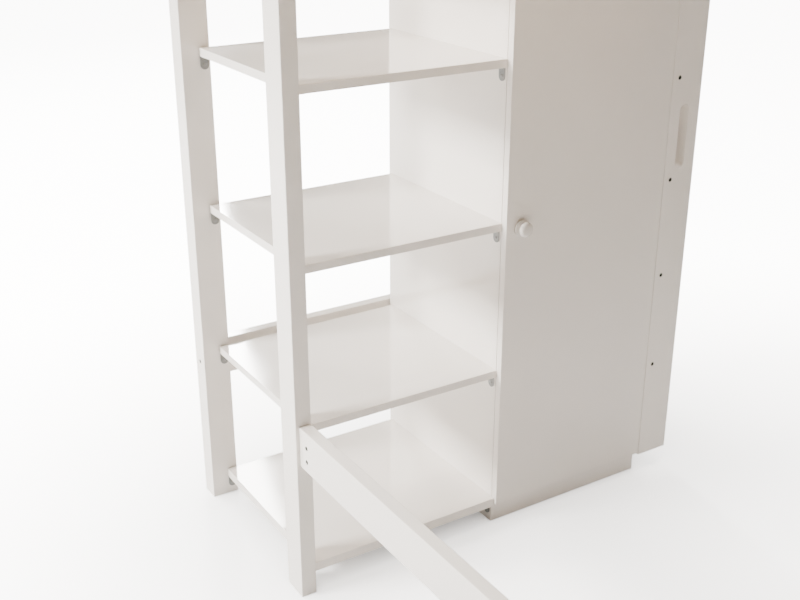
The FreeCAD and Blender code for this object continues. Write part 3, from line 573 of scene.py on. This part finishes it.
def prism(name, outline, low, high, taper=1.0):
    """Upright prism over an outline, its lower end drawn in by the taper."""
    shape = bmesh.new()
    top = [shape.verts.new((x, y, high)) for x, y in outline]
    bottom = [shape.verts.new((x * taper, y * taper, low)) for x, y in outline]
    shape.faces.new(top)
    shape.faces.new(reversed(bottom))
    for step in range(len(outline)):
        after = (step + 1) % len(outline)
        shape.faces.new((top[step], bottom[step], bottom[after], top[after]))
    bmesh.ops.recalc_face_normals(shape, faces=shape.faces)
    return finished(name, shape)


# %% [markdown]
# ### Heads of bolts and screws
# A bolt head is a short turned drum with a softly rounded rim and a six-sided key hole. Wood
# screws have a low dome with a cross-shaped recess that narrows towards its floor. A barrel
# nut shows only its round end in the face of a rail, with one slot for a screwdriver.


# %% Shape one of each fastener
def drum_head(name, radius, height, rim, key_size, key_depth):
    profile = [(0, 0)] + arc((radius - rim, -rim), rim, 90, 0, 4)
    profile += [(radius, -height), (0, -height)]
    head = turned(name, profile)
    hexagon = arc((0, 0), key_size / math.sqrt(3), 0, 300, 5)
    return cut_out(head, prism("key", hexagon, -key_depth, rim))


def domed_head(name, radius, height, dome, cross_size, cross_width, cross_depth):
    sphere = (radius ** 2 + dome ** 2) / (2 * dome)
    half = math.degrees(math.asin(radius / sphere))
    profile = arc((0, -sphere), sphere, 90, 90 - half, 6) + [(radius, -height), (0, -height)]
    head = turned(name, profile)
    a, b = cross_size / 2, cross_width / 2
    cross = [(a, -b), (a, b), (b, b), (b, a), (-b, a), (-b, b),
             (-a, b), (-a, -b), (-b, -b), (-b, -a), (b, -a), (b, -b)]
    return cut_out(head, prism("cross", cross, -cross_depth, dome, taper=0.55))


def slotted_nut(name, radius, length, rim, slot_width, slot_depth):
    profile = [(0, 0), (radius - rim, 0), (radius, -rim), (radius, rim - length),
               (radius - rim, -length), (0, -length)]
    nut = turned(name, profile)
    a, b = radius * 1.2, slot_width / 2
    return cut_out(nut, prism("slot", [(-a, -b), (a, -b), (a, b), (-a, b)], -slot_depth, rim))


bolt_head_height, joint_head_height = 4 * mm, 3 * mm
screw_head_height, knob_head_height = 2 * mm, 2.2 * mm
bolt_head = drum_head("bolt_head", radius=5 * mm, height=bolt_head_height, rim=0.7 * mm,
                      key_size=4 * mm, key_depth=2.5 * mm)
joint_screw_head = drum_head("joint_screw_head", radius=5 * mm, height=joint_head_height,
                             rim=0.3 * mm, key_size=4 * mm, key_depth=2.0 * mm)
screw_head = domed_head("screw_head", radius=3.6 * mm, height=screw_head_height, dome=0.7 * mm,
                        cross_size=3.8 * mm, cross_width=0.9 * mm, cross_depth=1.6 * mm)
knob_screw_head = domed_head("knob_screw_head", radius=4.5 * mm, height=knob_head_height,
                             dome=0.9 * mm, cross_size=4.4 * mm, cross_width=1 * mm,
                             cross_depth=1.7 * mm)
nut_shape = slotted_nut("nut_shape", radius=5 * mm, length=20 * mm, rim=0.4 * mm,
                        slot_width=1.3 * mm, slot_depth=1.5 * mm)
for shape in (bolt_head, joint_screw_head, screw_head, knob_screw_head, nut_shape):
    print(shape.name, len(shape.data.polygons), "faces")


# %% [markdown]
# ### One tree sets them all
# The tree takes a cloud of points. Each point carries a turn and a length. On every point it
# sets the head, and below the head a plain shank as long as the point says. The instances are
# made real at the end and get their finish.


# %% The fastener tree
def tree_with(name, inputs):
    tree = bpy.data.node_groups.new(name, "GeometryNodeTree")
    for label, kind in inputs:
        tree.interface.new_socket(name=label, in_out="INPUT", socket_type="NodeSocket" + kind)
    tree.interface.new_socket(name="Geometry", in_out="OUTPUT", socket_type="NodeSocketGeometry")
    return tree, tree.nodes.new("NodeGroupInput"), tree.nodes.new("NodeGroupOutput")


def run_tree(thing, tree, values):
    """Sets a tree's inputs on an object and turns the outcome into a plain mesh."""
    modifier = thing.modifiers.new(tree.name, "NODES")
    modifier.node_group = tree
    for item in tree.interface.items_tree:
        if item.in_out == "INPUT" and item.name in values:
            modifier[item.identifier] = values[item.name]
    return worked_in(thing)


def fastener_tree():
    tree, given, result = tree_with("set_fasteners", [
        ("Geometry", "Geometry"), ("Head", "Object"), ("Shank Radius", "Float"),
        ("Shank Start", "Float"), ("Finish", "Material")])
    links = tree.links
    turn = add_node(tree, "GeometryNodeInputNamedAttribute", data_type="QUATERNION")
    turn.inputs["Name"].default_value = "turn"
    length = add_node(tree, "GeometryNodeInputNamedAttribute", data_type="FLOAT")
    length.inputs["Name"].default_value = "length"
    head = add_node(tree, "GeometryNodeObjectInfo")
    links.new(given.outputs["Head"], head.inputs["Object"])
    heads = add_node(tree, "GeometryNodeInstanceOnPoints")
    links.new(given.outputs["Geometry"], heads.inputs["Points"])
    links.new(head.outputs["Geometry"], heads.inputs["Instance"])
    links.new(turn.outputs["Attribute"], heads.inputs["Rotation"])

    rod = add_node(tree, "GeometryNodeMeshCylinder")
    set_inputs(rod, Vertices=20, Depth=1.0)
    links.new(given.outputs["Shank Radius"], rod.inputs["Radius"])
    hung = add_node(tree, "GeometryNodeTransform")
    hung.inputs["Translation"].default_value = (0, 0, -0.5)
    links.new(rod.outputs["Mesh"], hung.inputs["Geometry"])
    stretch = add_node(tree, "ShaderNodeCombineXYZ")
    set_inputs(stretch, X=1.0, Y=1.0)
    links.new(length.outputs["Attribute"], stretch.inputs["Z"])
    down = add_node(tree, "ShaderNodeCombineXYZ")
    links.new(given.outputs["Shank Start"], down.inputs["Z"])
    aside = add_node(tree, "FunctionNodeRotateVector")
    links.new(down.outputs["Vector"], aside.inputs["Vector"])
    links.new(turn.outputs["Attribute"], aside.inputs["Rotation"])
    lowered = add_node(tree, "GeometryNodeSetPosition")
    links.new(given.outputs["Geometry"], lowered.inputs["Geometry"])
    links.new(aside.outputs["Vector"], lowered.inputs["Offset"])
    shanks = add_node(tree, "GeometryNodeInstanceOnPoints")
    links.new(lowered.outputs["Geometry"], shanks.inputs["Points"])
    links.new(hung.outputs["Geometry"], shanks.inputs["Instance"])
    links.new(turn.outputs["Attribute"], shanks.inputs["Rotation"])
    links.new(stretch.outputs["Vector"], shanks.inputs["Scale"])

    both = add_node(tree, "GeometryNodeJoinGeometry")
    links.new(shanks.outputs["Instances"], both.inputs["Geometry"])
    links.new(heads.outputs["Instances"], both.inputs["Geometry"])
    finish_set(tree, both.outputs["Geometry"], given.outputs["Finish"], result)
    return tree


def finish_set(tree, instances, finish, result):
    real = add_node(tree, "GeometryNodeRealizeInstances")
    tree.links.new(instances, real.inputs["Geometry"])
    coat = add_node(tree, "GeometryNodeSetMaterial")
    tree.links.new(real.outputs["Geometry"], coat.inputs["Geometry"])
    tree.links.new(finish, coat.inputs["Material"])
    tree.links.new(coat.outputs["Geometry"], result.inputs["Geometry"])


def point_cloud(name, places):
    """Points at the given places, each with its turn and its shank's length."""
    mesh = bpy.data.meshes.new(name)
    mesh.from_pydata([place for place, turn, length in places], [], [])
    mesh.attributes.new("turn", "QUATERNION", "POINT")
    mesh.attributes.new("length", "FLOAT", "POINT")
    for index, (place, turn, length) in enumerate(places):
        mesh.attributes["turn"].data[index].value = turn
        mesh.attributes["length"].data[index].value = length
    thing = bpy.data.objects.new(name, mesh)
    bpy.context.scene.collection.objects.link(thing)
    return thing


def hand_over(piece, body, slot, *stands_for):
    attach(piece, body)
    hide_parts(*stands_for)
    print(piece.name, len(piece.data.polygons), "faces for", ", ".join(stands_for))


# %% Set the bolts and screws
set_fasteners = fastener_tree()
rolls = random.Random(11)
head_share = 0.9    # of a head's height, where its shank starts


def fasten(node, name, head, head_height, shank_radius, finish, body):
    places = []
    for points in solids_of(node):
        face, outward, length = head_place(points)
        roll = Matrix.Rotation(rolls.uniform(0, math.pi), 3, "Z").to_quaternion()
        turn = outward.to_track_quat("Z", "Y") @ roll
        places.append((face, turn, length - head_height * head_share))
    cloud = point_cloud(name, places)
    piece = run_tree(cloud, set_fasteners, {
        "Head": head, "Shank Radius": shank_radius, "Shank Start": -head_height * head_share,
        "Finish": finish})
    hand_over(piece, body, "zinc_steel", node)


fasten("frame_bolts", "socket_bolts", bolt_head, bolt_head_height,
       shank_radius=3 * mm, finish=dark_zinc, body="bed_frame")
fasten("furniture_screws", "joint_screws", joint_screw_head, joint_head_height,
       shank_radius=3.5 * mm, finish=zinc, body="bed_frame")
fasten("wood_screws", "cross_screws", screw_head, screw_head_height,
       shank_radius=1.75 * mm, finish=zinc, body="bed_frame")
fasten("hinge_cup_screws", "cup_screws", screw_head, screw_head_height,
       shank_radius=1.75 * mm, finish=zinc, body="door")
fasten("knob_screw", "knob_fixing", knob_screw_head, knob_head_height,
       shank_radius=2 * mm, finish=zinc, body="door")


# %% [markdown]
# ### Nuts and brackets
# These are set whole, without a shank. A nut's slot lies along its bolt, because whoever
# tightens the bolt turns the nut with a screwdriver until its thread meets it. A bracket is one
# strip of steel, bent over a small radius and rounded at both ends.


# %% The tree for whole pieces
def whole_piece_tree():
    tree, given, result = tree_with("set_whole_pieces", [
        ("Geometry", "Geometry"), ("Piece", "Object"), ("Finish", "Material")])
    turn = add_node(tree, "GeometryNodeInputNamedAttribute", data_type="QUATERNION")
    turn.inputs["Name"].default_value = "turn"
    piece = add_node(tree, "GeometryNodeObjectInfo")
    tree.links.new(given.outputs["Piece"], piece.inputs["Object"])
    set_out = add_node(tree, "GeometryNodeInstanceOnPoints")
    tree.links.new(given.outputs["Geometry"], set_out.inputs["Points"])
    tree.links.new(piece.outputs["Geometry"], set_out.inputs["Instance"])
    tree.links.new(turn.outputs["Attribute"], set_out.inputs["Rotation"])
    finish_set(tree, set_out.outputs["Instances"], given.outputs["Finish"], result)
    return tree


set_whole_pieces = whole_piece_tree()


def set_out(node, name, shape, place_of, finish, slot):
    cloud = point_cloud(name, [(*place_of(points), 0) for points in solids_of(node)])
    piece = run_tree(cloud, set_whole_pieces, {"Piece": shape, "Finish": finish})
    hand_over(piece, "bed_frame", slot, node)


# %% Barrel nuts in the rails' faces
def nut_place(points):
    """Outer end of a nut, turned so that its slot lies along the bolt."""
    low, high = span(points)
    middle = (low + high) / 2
    axis = max(range(3), key=lambda side: high[side] - low[side])
    half = (high[axis] - low[axis]) / 2
    bore = [point - middle for point in points if abs(point[axis] - middle[axis]) < half - 1 * mm]
    outward = Vector((0, 0, 0))
    outward[axis] = -1 if sum(gap[axis] for gap in bore) > 0 else 1
    sides = [(axis + 1) % 3, (axis + 2) % 3]
    along = Vector((0, 0, 0))
    along[max(sides, key=lambda side: sum(abs(gap[side]) for gap in bore))] = 1
    turn = Matrix((along, outward.cross(along), outward)).transposed().to_quaternion()
    return middle + outward * half, turn


set_out("barrel_nuts", "slotted_nuts", nut_shape, nut_place, dark_zinc, "zinc_steel")


# %% Shape one bracket
def round_edges(thing, width, from_angle=50):
    """Adds a small rounding to the edges that are sharper than an angle in degrees."""
    rounding = thing.modifiers.new("edges", "BEVEL")
    rounding.width = width
    rounding.segments = 2
    rounding.limit_method = "ANGLE"
    rounding.angle_limit = math.radians(from_angle)


def bent_strip(name, leg, width, thickness, bend, round_end):
    """Angle bracket: level leg along +x, upright leg down, outer faces in the planes of 0."""
    half = width / 2
    tip_steps, narrowest = 10, 0.06 * half
    turns = [math.radians(90 * n / tip_steps) for n in range(tip_steps)]
    stations = []
    for place in [leg - half * (1 - math.cos(turn)) for turn in turns] + [leg - half]:
        inset = max(place - (leg - half), 0)
        stations.append((place, math.sqrt(max(half ** 2 - inset ** 2, narrowest ** 2))))
    shape = bmesh.new()

    def ring(outer, inner, wide):
        corners = ((outer, -wide), (outer, wide), (inner, wide), (inner, -wide))
        return [shape.verts.new((end[0], side, end[1])) for end, side in corners]

    rings = [ring((x, 0), (x, -thickness), wide) for x, wide in stations]
    for outer, inner in zip(arc((bend, -bend), bend, 90, 180, 6),
                            arc((bend, -bend), bend - thickness, 90, 180, 6)):
        rings.append(ring(outer, inner, half))
    rings += [ring((0, -z), (thickness, -z), wide) for z, wide in reversed(stations)]
    for first, second in zip(rings, rings[1:]):
        for corner in range(4):
            after = (corner + 1) % 4
            shape.faces.new((first[corner], first[after], second[after], second[corner]))
    shape.faces.new(rings[0])
    shape.faces.new(reversed(rings[-1]))
    bmesh.ops.recalc_face_normals(shape, faces=shape.faces)
    strip = finished(name, shape, sharp_angle=30)
    round_edges(strip, round_end)
    return worked_in(strip)


def bracket_place(points):
    """Corner where wall and shelf meet, turned so that +x leads away from the wall."""
    low, high = span(points)
    middle = (low + high) / 2
    foot = [point for point in points if point.z < low.z + 1 * mm]
    lean = sum(foot, Vector()) / len(foot) - middle
    axis = 0 if abs(lean.x) > abs(lean.y) else 1
    away = Vector((0, 0, 0))
    away[axis] = -1 if lean[axis] > 0 else 1
    corner = middle.copy()
    corner[axis] = low[axis] if away[axis] > 0 else high[axis]
    corner.z = high.z
    turn = Matrix((away, Vector((0, 0, 1)).cross(away), Vector((0, 0, 1)))).transposed()
    return corner, turn.to_quaternion()


bracket_low, bracket_high = span(solids_of("shelf_brackets")[0])
bracket_size = bracket_high - bracket_low
bracket_shape = bent_strip("bracket_shape", leg=bracket_size.z,
                           width=min(bracket_size.x, bracket_size.y), thickness=2 * mm,
                           bend=2.6 * mm, round_end=0.3 * mm)
set_out("shelf_brackets", "angle_brackets", bracket_shape, bracket_place, bracket_grey,
        "bracket_grey")
discard(bolt_head, joint_screw_head, screw_head, knob_screw_head, nut_shape, bracket_shape)


# %% [markdown]
# ## Slats
# Fourteen planed boards lie across the bunk. One slat is a rectangle with rounded corners drawn
# along a line, with a countersunk hole near each end, and a row of points repeats it. The
# sizes are the tree's inputs, so that another bed needs only other numbers.


# %% The slat tree
def slat_tree():
    tree, given, result = tree_with("lay_slats", [
        ("Start", "Vector"), ("Count", "Int"), ("Pitch", "Float"), ("Length", "Float"),
        ("Width", "Float"), ("Thickness", "Float"), ("Edge Radius", "Float"),
        ("Hole Inset", "Float"), ("Hole Radius", "Float"), ("Hole Depth", "Float"),
        ("Finish", "Material")])
    links = tree.links
    outline = add_node(tree, "GeometryNodeCurvePrimitiveQuadrilateral")
    links.new(given.outputs["Width"], outline.inputs["Width"])
    links.new(given.outputs["Thickness"], outline.inputs["Height"])
    eased = add_node(tree, "GeometryNodeFilletCurve", mode="POLY")
    set_inputs(eased, Count=3)
    links.new(outline.outputs["Curve"], eased.inputs["Curve"])
    links.new(given.outputs["Edge Radius"], eased.inputs["Radius"])
    end = add_node(tree, "ShaderNodeCombineXYZ")
    links.new(given.outputs["Length"], end.inputs["X"])
    line = add_node(tree, "GeometryNodeCurvePrimitiveLine")
    links.new(end.outputs["Vector"], line.inputs["End"])
    board = add_node(tree, "GeometryNodeCurveToMesh")
    board.inputs["Fill Caps"].default_value = True
    links.new(line.outputs["Curve"], board.inputs["Curve"])
    links.new(eased.outputs["Curve"], board.inputs["Profile Curve"])

    drill = add_node(tree, "GeometryNodeMeshCylinder")
    set_inputs(drill, Vertices=28)
    links.new(given.outputs["Hole Radius"], drill.inputs["Radius"])
    twice = add_node(tree, "ShaderNodeMath", operation="MULTIPLY")
    twice.inputs[1].default_value = 2.0
    links.new(given.outputs["Hole Depth"], twice.inputs[0])
    links.new(twice.outputs["Value"], drill.inputs["Depth"])
    half_up = add_node(tree, "ShaderNodeMath", operation="MULTIPLY")
    half_up.inputs[1].default_value = 0.5
    links.new(given.outputs["Thickness"], half_up.inputs[0])
    other_end = add_node(tree, "ShaderNodeMath", operation="SUBTRACT")
    links.new(given.outputs["Length"], other_end.inputs[0])
    links.new(given.outputs["Hole Inset"], other_end.inputs[1])
    holed = add_node(tree, "GeometryNodeMeshBoolean", operation="DIFFERENCE", solver="EXACT")
    links.new(board.outputs["Mesh"], holed.inputs["Mesh 1"])
    for distance in (given.outputs["Hole Inset"], other_end.outputs["Value"]):
        spot = add_node(tree, "ShaderNodeCombineXYZ")
        links.new(distance, spot.inputs["X"])
        links.new(half_up.outputs["Value"], spot.inputs["Z"])
        placed = add_node(tree, "GeometryNodeTransform")
        links.new(drill.outputs["Mesh"], placed.inputs["Geometry"])
        links.new(spot.outputs["Vector"], placed.inputs["Translation"])
        links.new(placed.outputs["Geometry"], holed.inputs["Mesh 2"])

    step = add_node(tree, "ShaderNodeCombineXYZ")
    links.new(given.outputs["Pitch"], step.inputs["Y"])
    row = add_node(tree, "GeometryNodeMeshLine")
    links.new(given.outputs["Count"], row.inputs["Count"])
    links.new(given.outputs["Start"], row.inputs["Start Location"])
    links.new(step.outputs["Vector"], row.inputs["Offset"])
    laid = add_node(tree, "GeometryNodeInstanceOnPoints")
    links.new(row.outputs["Mesh"], laid.inputs["Points"])
    links.new(holed.outputs["Mesh"], laid.inputs["Instance"])
    finish_set(tree, laid.outputs["Instances"], given.outputs["Finish"], result)
    return tree


# %% Lay the slats
spans = sorted((span(points) for points in solids_of("slats")), key=lambda pair: pair[0].y)
first_low, first_high = spans[0]
slat_size = first_high - first_low
slat_heads = [head_place(points) for points in solids_of("wood_screws")]
in_slats = [place for place, outward, length in slat_heads
            if outward.z > 0.5 and abs(place.z - first_high.z) < 1 * mm]
hole_inset = min(place.x for place in in_slats) - first_low.x
slats = bpy.data.objects.new("planed_slats", bpy.data.meshes.new("planed_slats"))
bpy.context.scene.collection.objects.link(slats)
run_tree(slats, slat_tree(), {
    "Start": (first_low.x, (first_low.y + first_high.y) / 2, (first_low.z + first_high.z) / 2),
    "Count": len(spans), "Pitch": spans[1][0].y - first_low.y, "Length": slat_size.x,
    "Width": slat_size.y, "Thickness": slat_size.z, "Edge Radius": 2 * mm,
    "Hole Inset": hole_inset, "Hole Radius": 3.65 * mm, "Hole Depth": 2 * mm,
    "Finish": softwood_x})
slats.data.shade_smooth()
slats.data.set_sharp_from_angle(angle=math.radians(40))
hand_over(slats, "bed_frame", "slat_pine", "slats")


# %% [markdown]
# ## The knob
# It is turned wood under lacquer: a flat foot, a slim neck and a broad head with soft shoulders.
# Its profile is drawn once and turned about the axis. The foot is cut back next to the door.
# The groove this leaves is a thin dark line, which sets the knob off from the white around it.


# %% Turn the knob
def laid_along(thing, direction, place):
    """Turns a turned piece's axis to a direction and moves its foot to a place."""
    turn = direction.to_track_quat("Z", "Y").to_matrix().to_4x4()
    thing.data.transform(Matrix.Translation(place) @ turn)
    return thing


knob_low, knob_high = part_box("door_knob")
knob_size = knob_high - knob_low
foot_radius, knob_length = knob_size.x / 2, knob_size.y
groove_radius, groove_depth, foot_top, foot_edge = 13 * mm, 2 * mm, 5.6 * mm, 1.4 * mm
neck_radius, neck_round, head_back, back_edge = 7.5 * mm, 2 * mm, 14.5 * mm, 1.5 * mm
head_radius, head_bulge, head_rim, foot_bevel = 16.5 * mm, 2.5 * mm, 7.5 * mm, 0.4 * mm
cap_radius = (head_radius ** 2 + head_bulge ** 2) / (2 * head_bulge)
cap_middle = knob_length - cap_radius
rim_middle = math.sqrt((cap_radius - head_rim) ** 2 - (head_radius - head_rim) ** 2) + cap_middle
cap_lean = math.degrees(math.atan2(rim_middle - cap_middle, head_radius - head_rim))
knob_profile = [(0, 0), (groove_radius, 0), (groove_radius, groove_depth),
                (foot_radius - foot_bevel, groove_depth), (foot_radius, groove_depth + foot_bevel)]
knob_profile += arc((foot_radius - foot_edge, foot_top - foot_edge), foot_edge, 0, 90, 6)
knob_profile += arc((neck_radius + neck_round, foot_top + neck_round), neck_round, 270, 180, 6)
knob_profile += arc((neck_radius + neck_round, head_back - neck_round), neck_round, 180, 90, 6)
knob_profile += arc((head_radius - back_edge, head_back + back_edge), back_edge, -90, 0, 6)
knob_profile += arc((head_radius - head_rim, rim_middle), head_rim, 0, cap_lean, 12)
knob_profile += arc((0, cap_middle), cap_radius, cap_lean, 90, 10)[1:]
knob_foot = (knob_low + knob_high) / 2
knob_foot.y = knob_high.y
knob = laid_along(turned("turned_knob", knob_profile, 72), Vector((0, -1, 0)), knob_foot)
knob.data.materials.append(knob_lacquer)
hand_over(knob, "door", "knob_lacquer", "door_knob")


# %% [markdown]
# ## Inside the wardrobe
# Behind the door hang a chrome tube in two white sockets and three concealed hinges. The tube
# and the sockets are turned again with smooth walls. The hinges keep their construction, and
# their stamped steel gets the small rounded edges that pressing leaves.

# %% Hanging rail and its sockets
rail_low, rail_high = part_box("hanging_rail")
rail_radius = (rail_high.z - rail_low.z) / 2
rail_wall = 1.5 * mm
rail_middle = (rail_low + rail_high) / 2
rail_length = rail_high.x - rail_low.x
tube_profile = [(rail_radius - rail_wall, 0), (rail_radius, 0), (rail_radius, rail_length),
                (rail_radius - rail_wall, rail_length), (rail_radius - rail_wall, 0)]
tube = turned("chrome_rail", tube_profile, 64)
weld = bmesh.new()
weld.from_mesh(tube.data)
bmesh.ops.remove_doubles(weld, verts=weld.verts, dist=0.01 * mm)
weld.to_mesh(tube.data)
weld.free()
laid_along(tube, Vector((1, 0, 0)), Vector((rail_low.x, rail_middle.y, rail_middle.z)))
tube.data.materials.append(chrome)
hand_over(tube, "bed_frame", "rail_chrome", "hanging_rail")

socket_spans = sorted((span(points) for points in solids_of("hanging_rail_sockets")),
                      key=lambda pair: pair[0].x)
socket_low, socket_high = socket_spans[0]
socket_radius = (socket_high.z - socket_low.z) / 2
socket_depth, socket_floor = socket_high.x - socket_low.x, 3 * mm
seat_radius = rail_radius + 0.1 * mm
outer_round, inner_round = 3 * mm, 1 * mm
socket_profile = [(0, 0), (socket_radius, 0)]
socket_profile += arc((socket_radius - outer_round, socket_depth - outer_round),
                      outer_round, 0, 90, 6)
socket_profile += arc((seat_radius + inner_round, socket_depth - inner_round),
                      inner_round, 90, 180, 4)
socket_profile += [(seat_radius, socket_floor), (0, socket_floor)]
left_socket = laid_along(turned("rail_sockets", socket_profile, 56), Vector((1, 0, 0)),
                         Vector((socket_low.x, rail_middle.y, rail_middle.z)))
right_socket = laid_along(turned("right_socket", socket_profile, 56), Vector((-1, 0, 0)),
                          Vector((socket_spans[1][1].x, rail_middle.y, rail_middle.z)))
pair = bmesh.new()
for half in (left_socket, right_socket):
    pair.from_mesh(half.data)
pair.to_mesh(left_socket.data)
pair.free()
discard(right_socket)
left_socket.data.materials.append(plastic)
hand_over(left_socket, "bed_frame", "white_plastic", "hanging_rail_sockets")


# %% Door buffers
def buffer_dome(radius, height):
    sphere = (radius ** 2 + height ** 2) / (2 * height)
    half = math.degrees(math.asin(radius / sphere))
    return [(0, 0)] + list(reversed(arc((0, height - sphere), sphere, 90, 90 - half, 8)))


domes = bmesh.new()
for points in solids_of("door_buffers"):
    low, high = span(points)
    dome_foot = (low + high) / 2
    dome_foot.y = low.y
    dome = turned("dome", buffer_dome((high.z - low.z) / 2, high.y - low.y), 32)
    laid_along(dome, Vector((0, 1, 0)), dome_foot)
    domes.from_mesh(dome.data)
    discard(dome)
buffers = finished("bumper_domes", domes)
buffers.data.materials.append(rubber)
hand_over(buffers, "door", "clear_buffer", "door_buffers")


# %% Concealed hinges
def pressed_copy(node, name, width, finish, body, slot):
    """A node's shape, welded and with small rounded edges."""
    shape = bmesh.new()
    shape.from_mesh(nodes[node].data)
    bmesh.ops.remove_doubles(shape, verts=shape.verts, dist=weld_distance)
    bmesh.ops.dissolve_limit(shape, angle_limit=math.radians(0.5), verts=shape.verts,
                             edges=shape.edges)
    piece = finished(name, shape)
    round_edges(piece, width)
    flatten = piece.modifiers.new("flats", "WEIGHTED_NORMAL")
    flatten.keep_sharp = True
    worked_in(piece)
    piece.data.materials.clear()
    piece.data.materials.append(finish)
    hand_over(piece, body, slot, node)


for node, body in (("hinge_cups", "door"), ("hinge_pins", "door"), ("hinge_links", "hinge_links"),
                   ("hinge_arms", "bed_frame")):
    pressed_copy(node, "pressed_" + node, 0.25 * mm, nickel, body, "hinge_nickel")

# %% Measure the dressed bed and finish
low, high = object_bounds()
print("visual box", [round(v, 3) for v in (*low, *high)])
